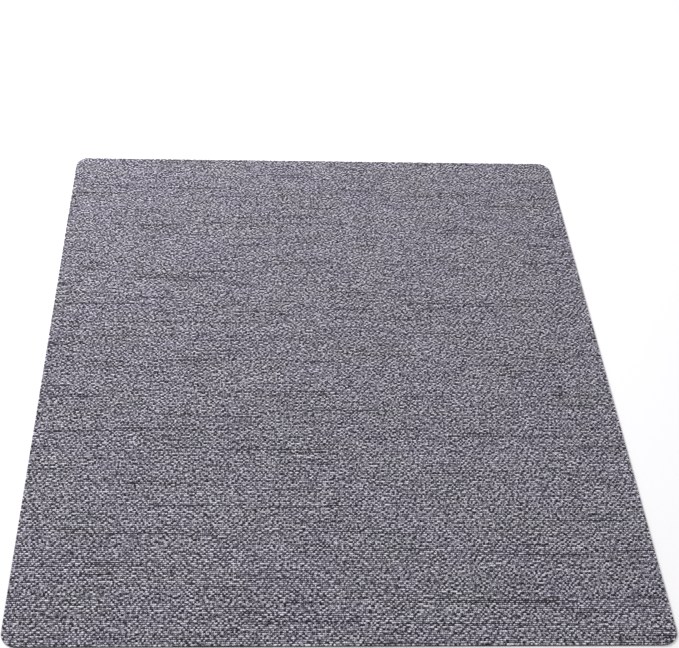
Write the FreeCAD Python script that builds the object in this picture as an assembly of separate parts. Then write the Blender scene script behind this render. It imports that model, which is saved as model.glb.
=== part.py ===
"""A rectangular desk-chair mat with rounded corners: low loop pile on a woven cloth, glued to a grip sheet.

Frame: millimetres, +Z up, origin at the centre of the underside. X runs along the rows of pile and
Y across them. From the floor up, the mat is four layers that are bonded face to face:

    grip_backing      moulded elastomer sheet that lies on the floor
    tie_coat          adhesive that locks the stitches and holds the grip sheet on
    primary_backing   woven cloth that the pile is stitched through
    face_yarns_NN     the pile: one yarn per row, each looped along the whole width

Every yarn is a solid of its own. A band of neighbouring yarns shares one node, numbered from the front.
"""

import FreeCAD
import Part
import os

# ---- driving dimensions -------------------------------------------------------------------------
INCH = 25.4
MAT_WIDTH = 48 * INCH  # along X, the length of a full yarn row
MAT_LENGTH = 60 * INCH  # along Y, across the rows
CORNER_RADIUS = 32.5

GRIP_THICKNESS = 1.2
TIE_THICKNESS = 0.4
CLOTH_THICKNESS = 0.4
PILE_HEIGHT = 2.2

ROW_PITCH = 3 / 16 * INCH  # assumed, as a stitching gauge
BAND_COUNT = 16

# A yarn row's section is a ridge, wide where it leaves the cloth and narrow at its crown.
ROW_BASE_WIDTH = 4.4
ROW_SHOULDER_WIDTH = 3.8
ROW_CROWN_WIDTH = 2.0
ROW_SHOULDER_HEIGHT = 1.4

# ---- what follows from them ---------------------------------------------------------------------
TIE_BOTTOM = GRIP_THICKNESS
CLOTH_BOTTOM = TIE_BOTTOM + TIE_THICKNESS
PILE_BOTTOM = CLOTH_BOTTOM + CLOTH_THICKNESS

ROW_COUNT = round(MAT_LENGTH / ROW_PITCH)
ROWS_PER_BAND = ROW_COUNT // BAND_COUNT
STRAIGHT_HALF_LENGTH = MAT_LENGTH / 2 - CORNER_RADIUS  # past this, a row's ends follow the corner arcs

UP = FreeCAD.Vector(0, 0, 1)
ALONG_ROW = FreeCAD.Vector(1, 0, 0)


def mat_outline(z):
    """The mat's plan at height z, as a closed wire: four straight sides joined by four quarter arcs."""
    half_width, half_length = MAT_WIDTH / 2, MAT_LENGTH / 2
    inner_x, inner_y = half_width - CORNER_RADIUS, half_length - CORNER_RADIUS
    corner_centres = [(inner_x, -inner_y), (inner_x, inner_y), (-inner_x, inner_y), (-inner_x, -inner_y)]
    arcs = []
    for quarter, (x, y) in enumerate(corner_centres):
        start = 90 * (quarter - 1)
        arcs.append(Part.makeCircle(CORNER_RADIUS, FreeCAD.Vector(x, y, z), UP, start, start + 90))
    edges = []
    for arc, next_arc in zip(arcs, arcs[1:] + arcs[:1]):
        edges.append(arc)
        edges.append(Part.makeLine(arc.valueAt(arc.LastParameter), next_arc.valueAt(next_arc.FirstParameter)))
    return Part.Wire(edges)


def layer(bottom, thickness):
    """One full layer of the mat, cut to its outline."""
    return Part.Face(mat_outline(bottom)).extrude(UP * thickness)


def yarn_row(y, cutter):
    """The looped yarn whose centre line is at y: a ridge across the mat, trimmed where a corner cuts it."""
    half_section = [
        (ROW_BASE_WIDTH / 2, 0),
        (ROW_SHOULDER_WIDTH / 2, ROW_SHOULDER_HEIGHT),
        (ROW_CROWN_WIDTH / 2, PILE_HEIGHT),
    ]
    section = half_section + [(-offset, height) for offset, height in reversed(half_section)]
    corners = [FreeCAD.Vector(-MAT_WIDTH / 2, y + offset, PILE_BOTTOM + height) for offset, height in section]
    ridge = Part.Face(Part.makePolygon(corners + corners[:1])).extrude(ALONG_ROW * MAT_WIDTH)
    if abs(y) + ROW_BASE_WIDTH / 2 <= STRAIGHT_HALF_LENGTH:
        return ridge
    return ridge.common(cutter).Solids[0]


def yarn_band(band, cutter):
    """The yarns of one band as a group of separate solids. Band 0 is at the front, where Y is lowest."""
    first = band * ROWS_PER_BAND
    centres = [-MAT_LENGTH / 2 + ROW_PITCH * (row + 0.5) for row in range(first, first + ROWS_PER_BAND)]
    return Part.makeCompound([yarn_row(y, cutter) for y in centres])


def mat_parts():
    """Every sub-part by its node name."""
    parts = {
        "grip_backing": layer(0, GRIP_THICKNESS),
        "tie_coat": layer(TIE_BOTTOM, TIE_THICKNESS),
        "primary_backing": layer(CLOTH_BOTTOM, CLOTH_THICKNESS),
    }
    cutter = layer(PILE_BOTTOM, PILE_HEIGHT)
    for band in range(BAND_COUNT):
        parts[f"face_yarns_{band + 1:02d}"] = yarn_band(band, cutter)
    return parts


os.makedirs("parts", exist_ok=True)
for node, shape in mat_parts().items():
    shape.exportStep(f"parts/{node}.step")
    print(f"{node}: {len(shape.Solids)} solids, {shape.Volume / 1000:.1f} cm3, valid {shape.isValid()}")
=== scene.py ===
"""A low loop-pile mat for a desk chair: heathered yarn rows on a woven cloth, glued to a rubber grip sheet.

Metres, +Z up, the origin at the centre of the underside. X runs along the rows of loops, Y across them.
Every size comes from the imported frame's boxes and the few driving dimensions below. New meshes are worked
out as whole arrays: a grid of two parameters, or a profile of lines carried along each row.
"""

import math

import bpy
import numpy as np
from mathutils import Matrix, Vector


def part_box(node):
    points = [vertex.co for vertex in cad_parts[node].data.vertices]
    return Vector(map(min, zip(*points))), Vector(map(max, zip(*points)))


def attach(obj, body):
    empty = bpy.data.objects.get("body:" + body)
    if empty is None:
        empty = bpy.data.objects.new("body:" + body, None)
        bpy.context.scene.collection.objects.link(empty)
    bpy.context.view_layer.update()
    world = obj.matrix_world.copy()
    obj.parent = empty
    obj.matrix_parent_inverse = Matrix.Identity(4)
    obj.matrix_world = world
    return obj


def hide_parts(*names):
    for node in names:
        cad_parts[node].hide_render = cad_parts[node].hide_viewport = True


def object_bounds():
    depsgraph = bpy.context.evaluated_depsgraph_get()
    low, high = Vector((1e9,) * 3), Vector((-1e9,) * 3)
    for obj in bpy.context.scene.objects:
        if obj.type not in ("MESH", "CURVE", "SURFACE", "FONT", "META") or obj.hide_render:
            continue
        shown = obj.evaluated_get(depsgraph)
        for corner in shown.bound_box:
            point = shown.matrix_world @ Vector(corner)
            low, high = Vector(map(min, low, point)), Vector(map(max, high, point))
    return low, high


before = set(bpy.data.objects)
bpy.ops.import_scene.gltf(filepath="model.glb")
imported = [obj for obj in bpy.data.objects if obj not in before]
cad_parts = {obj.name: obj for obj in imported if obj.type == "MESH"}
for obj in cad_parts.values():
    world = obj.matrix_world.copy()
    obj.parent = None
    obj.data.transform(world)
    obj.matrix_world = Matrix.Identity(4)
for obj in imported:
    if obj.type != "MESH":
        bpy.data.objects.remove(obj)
cad_low, cad_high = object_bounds()

# ---- driving dimensions, in metres --------------------------------------------------------------
MAT_WIDTH = cad_high.x - cad_low.x
MAT_LENGTH = cad_high.y - cad_low.y
CORNER_RADIUS = 0.0325
ROW_PITCH = 3 / 16 * 0.0254  # an assumed stitching gauge, the one that the solids use
LOOPS_PER_ROW = 336
BAND_NODES = sorted(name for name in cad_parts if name.startswith("face_yarns_"))
STUD_PITCH = 0.0127  # between grip studs along one line
STUD_DEPTH = 0.0007
PLAIN_PITCH, PLAIN_COLUMNS = 0.05, 25  # the grid of a sheet with no pattern of its own

rng = np.random.default_rng(48)


# ---- meshes -------------------------------------------------------------------------------------
def half_width(y):
    """Half the mat's width at y: straight sides, then the circle of the corner where y is past them."""
    past = np.clip(np.abs(y) - (MAT_LENGTH / 2 - CORNER_RADIUS), 0, CORNER_RADIUS)
    return MAT_WIDTH / 2 - CORNER_RADIUS + np.sqrt(CORNER_RADIUS**2 - past**2)


def mesh_object(name, points, faces, material, smooth=True):
    """A mesh object from an array of points and a list of faces, each a tuple of point numbers."""
    mesh = bpy.data.meshes.new(name)
    mesh.from_pydata(points, [], faces)
    return finished(name, mesh, material, smooth)


def triangle_object(name, points, triangles, material):
    """A smooth mesh object from an (n, 3) array of points and an (m, 3) array of triangles."""
    mesh = bpy.data.meshes.new(name)
    mesh.vertices.add(len(points))
    mesh.vertices.foreach_set("co", points.astype(np.float32).ravel())
    mesh.loops.add(triangles.size)
    mesh.loops.foreach_set("vertex_index", triangles.astype(np.int32).ravel())
    mesh.polygons.add(len(triangles))
    mesh.polygons.foreach_set("loop_start", np.arange(0, triangles.size, 3, dtype=np.int32))
    mesh.update(calc_edges=True)
    return finished(name, mesh, material, True)


def finished(name, mesh, material, smooth):
    """Puts the mesh in the scene at the origin, with its material and shading."""
    mesh.validate()
    mesh.materials.append(material)
    mesh.polygons.foreach_set("use_smooth", np.full(len(mesh.polygons), smooth))
    piece = bpy.data.objects.new(name, mesh)
    bpy.context.scene.collection.objects.link(piece)
    return piece


def point_attribute(piece, name, values):
    """One number for each point of the piece, for its material to read."""
    layer = piece.data.attributes.new(name, "FLOAT", "POINT")
    layer.data.foreach_set("value", values.astype(np.float32).ravel())


# ---- the pile -----------------------------------------------------------------------------------
END_SHARE = 0.12  # how much of each half row is drawn in, where a corner cuts it

# Paleness runs from 0 for the darkest yarn to 1 for the palest. The row profile adds painted shade and a
# faint painted highlight to it.
MEAN_TONE = 0.55
TONE_SPREAD = 0.3
BESIDE_SHARE = 0.28  # what each loop in the rows beside it takes off a loop's tone
ALONG_SHARE = 0.24  # what each of its neighbours in its own row takes off
ROW_DRIFT, SLOW_DRIFT = 0.015, 0.02  # from row to row, and along a row
PLY_CONTRAST = 0.16  # how much the paleness differs from point to point within a loop

# Two values are the ones at a stitch and at the middle of a loop. Reaches are in row pitches, and rises
# are shares of the loop's own height.
BASE_REACH = 0.45
SHOULDER_REACH = 0.26, 0.36
SHOULDER_RISE = 0.48, 0.68
CROWN_RISE = 0.76
# Painted shade: these darken the base lines in the valleys between rows, the shoulders on the row's sides
# and the dips at the stitches. The crown's second value is a faint painted highlight on the loop tops.
BASE_PAINTED_SHADE = -0.3
SHOULDER_PAINTED_SHADE = -0.2, -0.04
CROWN_PAINTED_SHADE_AND_HIGHLIGHT = -0.12, 0.04

# What a fully open seam does to the side of a row that is next to it: the side draws in, and painted shade
# darkens its base line and shoulder, for the shade inside the open gap.
SEAM_BASE_IN, SEAM_SHOULDER_IN = 0.14, 0.42
SEAM_BASE_PAINTED_SHADE, SEAM_SHOULDER_PAINTED_SHADE = 0.7, 0.14

# A band's map: cut across into strips, stacked to fill a square, with the hidden under side above them.
STRIPS = 4
LINE_HEIGHTS = 0.03, 0.26, 0.5, 0.74, 0.97  # of the five lines, as shares of a row's height on the map
STRIPS_TOP, UNDER_BOTTOM, UNDER_HEIGHT = 0.965, 0.975, 0.02
MAP_MARGIN = 0.004


def smooth_noise(rows, count, step):
    """Random numbers from -1 to 1 for each row, drawn every step-th loop and joined by a cosine curve."""
    knots = rng.uniform(-1, 1, (rows, count // step + 3))
    at = np.arange(count) / step + rng.uniform(0, 1, (rows, 1))
    low = at.astype(int)
    blend = (1 - np.cos(np.pi * (at - low))) / 2
    row = np.arange(rows)[:, None]
    return knots[row, low] * (1 - blend) + knots[row, low + 1] * blend


def draw_loops(rows, count):
    """Everything that is drawn at random for the loops of the whole mat, one array for each quantity.

    tone is how pale a loop's yarn is. It is a normal draw less a share of its neighbours' draws, most of
    all those in the rows beside it, so that pale and dark loops alternate rather than clump. seam is how
    far the gap in front of a row stands open: 0 on most of its length, up to 1 on a few stretches. The
    last row of seam is behind the mat.
    """
    own = rng.normal(0, 1, (rows + 2, count + 2))
    across_rows = own[:-2, 1:-1] + own[2:, 1:-1]
    along_row = own[1:-1, :-2] + own[1:-1, 2:]
    turned = own[1:-1, 1:-1] - BESIDE_SHARE * across_rows - ALONG_SHARE * along_row
    drift = rng.normal(0, ROW_DRIFT, (rows, 1)) + SLOW_DRIFT * smooth_noise(rows, count, 24)
    return {
        "tone": MEAN_TONE + TONE_SPREAD * turned + drift,
        "height": 1 - 0.2 * rng.beta(1.6, 2.6, (rows, count)),
        "push": rng.normal(0, 0.03, (rows, count)),
        "lean": rng.normal(0.03, 0.07, (rows, count)),
        "twist": rng.normal(0.09, 0.05, (rows, count)),
        "swell": rng.uniform(0.92, 1.08, (rows, count)),
        "length": np.pad(rng.uniform(-0.17, 0.17, (rows, count - 1)), ((0, 0), (1, 1))),
        "seam": np.clip(smooth_noise(rows + 1, count, 40) * 3.4 - 2.3, 0, 1),
    }


def at_stitches(values):
    """A loop quantity carried to the stitches, as the mean of the two loops that meet there."""
    padded = np.pad(values, ((0, 0), (1, 1)), mode="edge")
    return (padded[:, 1:] + padded[:, :-1]) / 2


def on_line(at_stitch, on_loop):
    """A quantity along a line: one value at each stitch and one at the middle of each loop."""
    inner = np.stack([at_stitch[:, :-1], on_loop], -1)
    return np.concatenate([inner.reshape(len(inner), -1), at_stitch[:, -1:]], 1)


def line_places(stitches, shift):
    """Where a line's points lie along the row, in loops: the stitches, and shifted middles between them."""
    middle = stitches[:, :-1] + np.diff(stitches) / 2 + shift
    return on_line(stitches, middle)


def row_profile(centres, loops, pile):
    """The five lines of each row, front to back, as (place along in loops, y, height, paleness).

    A base line lies on the cloth, and between two of them come a shoulder, the crown and the other
    shoulder. Along each loop the crown and shoulders rise from the stitch to the loop's height and fall
    again, and the shoulders swell outwards. Where a seam stands open, the side next to it draws back and
    is darkened with painted shade. Each line's paleness is the yarn's tone with painted shade added, and
    a faint painted highlight on the crowns.
    """
    count = LOOPS_PER_ROW
    stitches = np.arange(count + 1) + loops["length"]
    tone, height, push = loops["tone"], loops["height"], loops["push"]
    centre = centres[:, None] / ROW_PITCH
    low_push = at_stitches(push)

    def base(side, seam):
        across = centre + side * (BASE_REACH - SEAM_BASE_IN * at_stitches(seam)) + low_push * 0.5
        # Painted shade: the base line in the valley between rows is darkened, more where the seam beside it
        # stands open.
        pale = at_stitches(tone - SEAM_BASE_PAINTED_SHADE * seam) + BASE_PAINTED_SHADE
        return stitches, across * ROW_PITCH, np.zeros_like(across), pale

    def shoulder(side, seam):
        shift = loops["lean"] * 0.6 + side * loops["twist"]
        narrow = 1 - SEAM_SHOULDER_IN * seam
        swell = loops["swell"] * narrow
        reach = on_line(SHOULDER_REACH[0] * at_stitches(narrow), SHOULDER_REACH[1] * swell)
        across = centre + side * reach + on_line(low_push, push)
        rise = on_line(SHOULDER_RISE[0] * at_stitches(height), SHOULDER_RISE[1] * height)
        # Painted shade on the row's side, darker at the stitches and where the seam beside it stands open.
        pale = tone - SEAM_SHOULDER_PAINTED_SHADE * seam
        pale = on_line(at_stitches(pale) + SHOULDER_PAINTED_SHADE[0], pale + SHOULDER_PAINTED_SHADE[1])
        return line_places(stitches, shift), across * ROW_PITCH, rise * pile, pale

    def crown():
        across = centre + on_line(low_push, push)
        rise = on_line(CROWN_RISE * at_stitches(height), height)
        # Painted shade in the dips at the stitches, and a faint painted highlight on the crown at the
        # middle of each loop.
        pale = on_line(at_stitches(tone) + CROWN_PAINTED_SHADE_AND_HIGHLIGHT[0], tone + CROWN_PAINTED_SHADE_AND_HIGHLIGHT[1])
        return line_places(stitches, loops["lean"]), across * ROW_PITCH, rise * pile, pale

    front, back = loops["seam"], loops["seam_behind"]
    return [base(-1, front), shoulder(-1, front), crown(), shoulder(1, back), base(1, back)]


def row_triangles(sizes):
    """The triangles of one closed row of loops, with the loop that each belongs to, bottom ones last.

    sizes are the numbers of points on the five lines. A loop's triangles are written once, each corner
    as a line and a step on it, and are then repeated along the row. Two fans close the row's ends.
    """
    count = LOOPS_PER_ROW
    starts = np.cumsum([0, *sizes[:-1]])
    b, s, c, t, d = zip(starts, (1, 2, 2, 2, 1))
    sides = [
        ((b, 0), (s, 1), (s, 0)), ((b, 0), (b, 1), (s, 1)), ((b, 1), (s, 2), (s, 1)),
        ((s, 0), (s, 1), (c, 0)), ((s, 1), (c, 1), (c, 0)),
        ((s, 1), (s, 2), (c, 1)), ((s, 2), (c, 2), (c, 1)),
        ((c, 0), (t, 1), (t, 0)), ((c, 0), (c, 1), (t, 1)),
        ((c, 1), (t, 2), (t, 1)), ((c, 1), (c, 2), (t, 2)),
        ((t, 0), (t, 1), (d, 0)), ((t, 1), (d, 1), (d, 0)), ((t, 1), (t, 2), (d, 1)),
    ]
    under = [((b, 0), (d, 0), (d, 1)), ((b, 0), (d, 1), (b, 1))]

    def repeated(faces):
        first = np.array([[line[0] + step for line, step in face] for face in faces])
        stride = np.array([[line[1] for line, _ in face] for face in faces])
        return (first + stride * np.arange(count)[:, None, None]).reshape(-1, 3)

    ends = starts + np.array(sizes) - 1
    near_fan = [[starts[0], starts[i], starts[i + 1]] for i in (1, 2, 3)]
    far_fan = [[ends[0], ends[i + 1], ends[i]] for i in (1, 2, 3)]
    triangles = np.concatenate([repeated(sides), near_fan, far_fan, repeated(under)])
    loop = np.repeat(np.arange(count), len(sides)), [0] * 3, [count - 1] * 3, np.repeat(np.arange(count), 2)
    return triangles, np.concatenate(loop), len(under) * count


def strip_map(share, line_of_point, triangles, loop, under):
    """Where each corner of each row's triangles lies on the band's square map, from 0 to 1 each way.

    The band is cut across into STRIPS, stacked. u runs along a strip, and v climbs over the row from
    one base line to the other. The hidden under side goes on a narrow strip of its own at the top.
    """
    strip = np.repeat(loop * STRIPS // LOOPS_PER_ROW, 3).reshape(-1, 3)
    u = (share[:, triangles] + 1) / 2 * STRIPS - strip
    v = np.broadcast_to(np.array(LINE_HEIGHTS)[line_of_point][triangles], u.shape)
    rows = len(share)
    row = np.arange(rows)[:, None, None]
    v = STRIPS_TOP * (strip + (row + v) / rows) / STRIPS
    v[:, -under:] = UNDER_BOTTOM + UNDER_HEIGHT * v[:, -under:]
    return np.stack([MAP_MARGIN + (1 - 2 * MAP_MARGIN) * u.clip(0, 1), v], -1)


def band_of_rows(name, centres, loops, bottom, top, material):
    """A band of looped yarns, one closed tube for each row, with its five lines carried along X.

    The x of a point is its share of the mat's half width. Near the row's ends what the corner takes off
    the half width at its y is taken off x too, from nothing at the start of END_SHARE to all at the end.
    Every point's paleness also has a small draw of its own, for the single plies of the yarn.
    """
    lines = row_profile(centres, loops, top - bottom)
    place, y, rise, pale = (np.concatenate([line[i] for line in lines], 1) for i in range(4))
    pale = pale + rng.normal(0, PLY_CONTRAST, pale.shape)
    share = place / LOOPS_PER_ROW * 2 - 1
    drawn_in = (MAT_WIDTH / 2 - half_width(y)) * np.clip((np.abs(share) - 1) / END_SHARE + 1, 0, 1)
    points = np.stack([share * MAT_WIDTH / 2 - np.sign(share) * drawn_in, y, bottom + rise], -1)
    sizes = [line[0].shape[1] for line in lines]
    one_row, loop, under = row_triangles(sizes)
    triangles = one_row + (np.arange(len(centres)) * sum(sizes))[:, None, None]
    piece = triangle_object(name, points.reshape(-1, 3), triangles.reshape(-1, 3), material)
    point_attribute(piece, "pale", np.clip(pale, 0, 1))
    uv = strip_map(share, np.repeat(np.arange(5), sizes), one_row, loop, under)
    layer = piece.data.uv_layers.new(name="OFBake", do_init=False)
    layer.uv.foreach_set("vector", uv.astype(np.float32).ravel())
    return piece


# ---- the sheets ---------------------------------------------------------------------------------
def sheet_lines(pitch):
    """The y of each cross line of a sheet, evenly spaced, and closer where the corners turn inwards."""
    straight = MAT_LENGTH / 2 - CORNER_RADIUS
    even = np.linspace(-straight, straight, round(2 * straight / pitch) + 1)
    turn = straight + CORNER_RADIUS * np.sin(np.linspace(0, np.pi / 2, 13)[1:])
    return np.concatenate([-turn[::-1], even, turn])


def grid_faces(rows, columns, start=0, flip=False):
    """The quads of a grid of points numbered row by row, facing up, or down if flipped."""
    number = start + np.arange(rows * columns).reshape(rows, columns)
    quads = np.stack([number[:-1, :-1], number[:-1, 1:], number[1:, 1:], number[1:, :-1]], -1)
    quads = quads.reshape(-1, 4)
    return quads[:, ::-1] if flip else quads


def closed_sheet(name, y, columns, bottom_z, top_z, material):
    """A closed sheet whose plan is the mat's outline.

    Its two faces are grids: x is a share from -1 to 1 of the half width at y, and z is given as a
    function of x and y for each face. A wall of quads joins the rims of the two grids.
    """
    share = np.linspace(-1, 1, columns)
    x = share * half_width(y)[:, None]
    yy = np.broadcast_to(y[:, None], x.shape)
    lower = np.stack([x, yy, bottom_z(x, yy)], -1).reshape(-1, 3)
    upper = np.stack([x, yy, top_z(x, yy)], -1).reshape(-1, 3)
    rows, size = len(y), x.size
    number = np.arange(size).reshape(rows, columns)
    rim = np.concatenate([number[0, :-1], number[:-1, -1], number[-1, :0:-1], number[:0:-1, 0]])
    after = np.roll(rim, -1)
    wall = np.stack([rim, after, after + size, rim + size], -1)
    faces = np.concatenate([grid_faces(rows, columns, flip=True), grid_faces(rows, columns, size), wall])
    return mesh_object(name, np.concatenate([lower, upper]), faces.tolist(), material)


# ---- materials ----------------------------------------------------------------------------------
class Finish:
    """A material on its way: its Principled shader, and short calls that add and join nodes."""

    def __init__(self, name, roughness, **sockets):
        self.material = bpy.data.materials.new(name)
        self.material.use_nodes = True
        self.tree = self.material.node_tree
        self.shader = self.tree.nodes["Principled BSDF"]
        self.shader.inputs["Roughness"].default_value = roughness
        for socket, value in sockets.items():
            self.shader.inputs[socket.replace("_", " ")].default_value = value

    def node(self, kind, settings=(), **inputs):
        made = self.tree.nodes.new("ShaderNode" + kind)
        for key, value in dict(settings).items():
            setattr(made, key, value)
        for key, value in inputs.items():
            self.put(made.inputs[key.replace("_", " ")], value)
        return made

    def put(self, socket, value):
        if isinstance(value, bpy.types.NodeSocket):
            self.tree.links.new(value, socket)
        else:
            socket.default_value = value

    def place(self, scale=(1, 1, 1)):
        """Object coordinates, stretched by a scale on each axis."""
        coordinates = self.node("TexCoord")
        mapping = self.node("Mapping", Vector=coordinates.outputs["Object"], Scale=scale)
        return mapping.outputs["Vector"]

    def noise(self, scale, stretch=(1, 1, 1), detail=2.0):
        made = self.node("TexNoise", Vector=self.place(stretch), Scale=scale, Detail=detail)
        return made.outputs["Fac"]

    def flecks(self, scale, stretch, reach):
        """Small cells of one random value each, from -reach to reach."""
        cells = self.node("TexVoronoi", Vector=self.place(stretch), Scale=scale).outputs["Color"]
        return self.ranged(self.node("SeparateColor", Color=cells).outputs["Red"], 0, 1, -reach, reach)

    def math(self, operation, a, b):
        made = self.node("Math", {"operation": operation})
        self.put(made.inputs[0], a)
        self.put(made.inputs[1], b)
        return made.outputs["Value"]

    def ranged(self, value, low, high, to_low, to_high):
        ends = {"From_Min": low, "From_Max": high, "To_Min": to_low, "To_Max": to_high}
        made = self.node("MapRange", Value=value, **ends)
        return made.outputs["Result"]

    def ramp(self, value, stops):
        made = self.node("ValToRGB", Fac=value)
        elements = made.color_ramp.elements
        while len(elements) < len(stops):
            elements.new(0.5)
        for element, (position, colour) in zip(elements, stops):
            element.position = position
            element.color = (*colour, 1)
        return made.outputs["Color"]

    def mix(self, blend, factor, a, b):
        made = self.node("Mix", {"data_type": "RGBA", "blend_type": blend})
        self.put(made.inputs["Factor"], factor)
        for socket, value in zip([s for s in made.inputs if s.type == "RGBA"], (a, b)):
            self.put(socket, value)
        return next(s for s in made.outputs if s.type == "RGBA")

    def bump(self, height, distance, strength=1.0):
        made = self.node("Bump", Height=height, Distance=distance, Strength=strength)
        self.tree.links.new(made.outputs["Normal"], self.shader.inputs["Normal"])

    def colour(self, value):
        self.put(self.shader.inputs["Base Color"], value)


def heathered_yarn():
    """Matt twisted polyester in many greys, with a faint lilac cast, fine fibres and broad faint clouds."""
    made = Finish("heathered_yarn", 0.92, Sheen_Weight=0.12, Sheen_Roughness=0.5, Specular_IOR_Level=0.2)
    # The pale attribute is the yarn's own tone with painted shade on the base lines, shoulders, stitch dips
    # and beside open seams, and a faint painted highlight on the crowns.
    pale = made.node("Attribute", {"attribute_name": "pale"}).outputs["Fac"]
    fibre = made.noise(1300, (0.4, 1.4, 1.4), detail=3)
    plies = made.math("ADD", pale, made.flecks(430, (0.85, 1.3, 0.9), 0.28))
    flecked = made.math("ADD", plies, made.flecks(820, (0.8, 1.3, 1.3), 0.2))
    tone = made.math("ADD", flecked, made.ranged(fibre, 0.3, 0.7, -0.1, 0.1))
    greys = made.ramp(
        tone,
        [
            (0.0, (0.006, 0.006, 0.008)),
            (0.25, (0.050, 0.047, 0.058)),
            (0.50, (0.225, 0.215, 0.254)),
            (0.75, (0.480, 0.468, 0.525)),
            (1.0, (0.800, 0.790, 0.830)),
        ],
    )
    clouds = made.noise(6, (1, 1.6, 1), detail=1)
    cast = made.ramp(clouds, [(0.35, (0.99, 0.985, 0.985)), (0.62, (1.0, 0.978, 1.04))])
    made.colour(made.mix("MULTIPLY", 1.0, greys, cast))
    made.put(made.shader.inputs["Roughness"], made.ranged(fibre, 0.3, 0.7, 0.98, 0.84))
    made.bump(fibre, 0.0003, 0.7)
    return made.material


def woven_cloth():
    """Flat dark tapes woven over and under each other, as a plain weave."""
    made = Finish("woven_cloth", 0.6, Specular_IOR_Level=0.3)
    weave = made.node("TexChecker", Vector=made.place(), Scale=700).outputs["Fac"]
    wobble = made.noise(160, detail=2)
    over = made.math("MULTIPLY", weave, 0.6)
    made.colour(made.mix("MIX", over, (0.030, 0.029, 0.033, 1), (0.062, 0.060, 0.066, 1)))
    made.put(made.shader.inputs["Roughness"], made.ranged(wobble, 0.3, 0.7, 0.5, 0.72))
    made.bump(weave, 0.0002, 0.8)
    return made.material


def dried_latex():
    """A dull, slightly yellow-grey film with filler specks and small pinholes."""
    made = Finish("dried_latex", 0.55, Specular_IOR_Level=0.4)
    specks = made.noise(1400, detail=2)
    film = made.noise(60, detail=3)
    made.colour(
        made.mix(
            "MIX",
            made.ranged(specks, 0.35, 0.65, 0.0, 1.0),
            (0.055, 0.052, 0.050, 1),
            (0.115, 0.108, 0.100, 1),
        )
    )
    made.put(made.shader.inputs["Roughness"], made.ranged(film, 0.3, 0.7, 0.45, 0.7))
    made.bump(specks, 0.0001, 0.6)
    return made.material


def grip_rubber():
    """Near-black moulded rubber with a fine grain, a faint bloom, and greyer stud tops as a painted
    highlight that shows the studs' shape.
    """
    made = Finish("grip_rubber", 0.62, Specular_IOR_Level=0.35)
    bloom = made.noise(18, detail=3)
    grain = made.noise(1800, detail=2)
    rubber = made.ramp(bloom, [(0.3, (0.024, 0.024, 0.026)), (0.7, (0.038, 0.038, 0.041))])
    height = made.node("SeparateXYZ", Vector=made.place()).outputs["Z"]
    # Painted highlight: the stud tops are greyer than the hollows, so that the relief shows even in flat
    # light.
    painted_top_highlight = made.ranged(height, 0, STUD_DEPTH, 1.0, 0.0)
    made.colour(made.mix("MIX", painted_top_highlight, rubber, (0.095, 0.094, 0.098, 1)))
    made.put(made.shader.inputs["Roughness"], made.ranged(grain, 0.3, 0.7, 0.55, 0.75))
    made.bump(grain, 0.00012, 0.5)
    return made.material


def pale_floor():
    """Plain matt white, with a barely visible change of tone so that it isn't one flat value."""
    made = Finish("pale_floor", 0.9, Specular_IOR_Level=0.1)
    drift = made.noise(0.6, detail=1)
    made.colour(made.ramp(drift, [(0.3, (0.86, 0.86, 0.865)), (0.7, (0.88, 0.88, 0.88))]))
    return made.material


# ---- the mat ------------------------------------------------------------------------------------
yarn, cloth, latex, rubber = heathered_yarn(), woven_cloth(), dried_latex(), grip_rubber()


def level(z):
    """A flat face at height z."""
    return lambda x, y: np.full_like(x, z)


def studded(x, y):
    """The grip side: a rim and staggered studs at floor height, STUD_DEPTH up everywhere else.

    A stud stands on every fourth crossing of the grid lines, so it is a low pyramid with hollows all round.
    """
    column = np.arange(x.shape[1])
    row = np.arange(x.shape[0])[:, None]
    rim = (column == 0) | (column == x.shape[1] - 1) | (row == 0) | (row == x.shape[0] - 1)
    stud = (row % 2 == 0) & ((column + row // 2) % 2 == 0)
    return np.where(rim | stud, 0.0, STUD_DEPTH)


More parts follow.
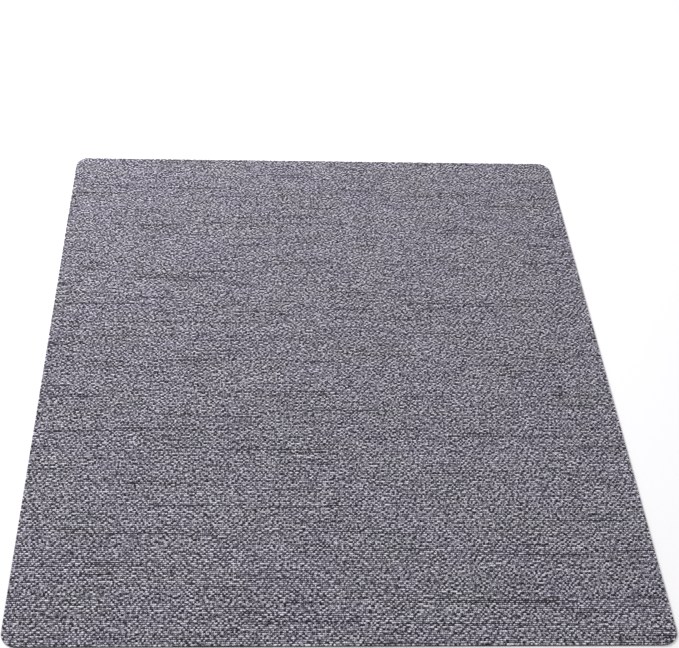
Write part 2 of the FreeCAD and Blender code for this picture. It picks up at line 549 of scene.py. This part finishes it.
def make_mat():
    grip_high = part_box("grip_backing")[1]
    columns = 2 * round(MAT_WIDTH / STUD_PITCH) + 1
    lines = sheet_lines(STUD_PITCH / 2)
    grip = closed_sheet("grip_sheet", lines, columns, studded, level(grip_high.z), rubber)
    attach(grip, "root")
    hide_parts("grip_backing")

    glue_low, glue_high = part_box("tie_coat")
    plain = sheet_lines(PLAIN_PITCH), PLAIN_COLUMNS
    glue = closed_sheet("tie_film", *plain, level(glue_low.z), level(glue_high.z), latex)
    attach(glue, "root")
    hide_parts("tie_coat")

    cloth_low, cloth_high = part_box("primary_backing")
    woven = closed_sheet("woven_sheet", *plain, level(cloth_low.z), level(cloth_high.z), cloth)
    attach(woven, "root")
    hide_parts("primary_backing")

    all_rows = round(MAT_LENGTH / ROW_PITCH)
    drawn = draw_loops(all_rows, LOOPS_PER_ROW)
    drawn["seam_behind"] = drawn["seam"][1:]
    first = 0
    for node in BAND_NODES:
        low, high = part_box(node)
        last = first + round((high.y - low.y) / ROW_PITCH)
        centres = cad_low.y + ROW_PITCH * (np.arange(first, last) + 0.5)
        loops = {quantity: values[first:last] for quantity, values in drawn.items()}
        band = band_of_rows(node.replace("face_yarns", "loop_rows"), centres, loops, low.z, high.z, yarn)
        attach(band, "root")
        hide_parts(node)
        first = last


make_mat()


# ---- floor, light and camera --------------------------------------------------------------------
def make_floor():
    size = 30
    corners = [(-size, -size, 0), (size, -size, 0), (size, size, 0), (-size, size, 0)]
    floor = mesh_object("floor", corners, [(0, 1, 2, 3)], pale_floor(), smooth=False)


def make_light(name, place, target, size, power, colour):
    light = bpy.data.lights.new(name, "AREA")
    light.color = colour
    light.shape = "DISK"
    light.size = size
    light.energy = power
    holder = bpy.data.objects.new(name, light)
    holder.location = place
    holder.rotation_euler = (Vector(target) - Vector(place)).to_track_quat("-Z", "Y").to_euler()
    bpy.context.scene.collection.objects.link(holder)


def make_world(strength):
    world = bpy.data.worlds.new("studio")
    world.use_nodes = True
    world.node_tree.nodes["Background"].inputs["Color"].default_value = (1.0, 1.0, 1.0, 1)
    world.node_tree.nodes["Background"].inputs["Strength"].default_value = strength
    bpy.context.scene.world = world


def make_camera():
    """Standing in front of the mat and a little left of its middle, looking down at it."""
    camera = bpy.data.cameras.new("camera")
    camera.sensor_width = 36
    camera.lens = 75.8
    camera.shift_x = 0.04
    holder = bpy.data.objects.new("camera", camera)
    holder.location = (-0.187, -2.313, 2.099)
    holder.rotation_euler = [math.radians(angle) for angle in (49.23, -2.19, -1.88)]
    bpy.context.scene.collection.objects.link(holder)
    bpy.context.scene.camera = holder


make_floor()
make_light(
    "key", place=(-2.0, 1.9, 2.4), target=(-0.1, 0.2, 0), size=1.6, power=125, colour=(0.965, 0.95, 1.0)
)
make_world(strength=0.74)
make_camera()
bpy.context.scene.view_settings.view_transform = "Standard"
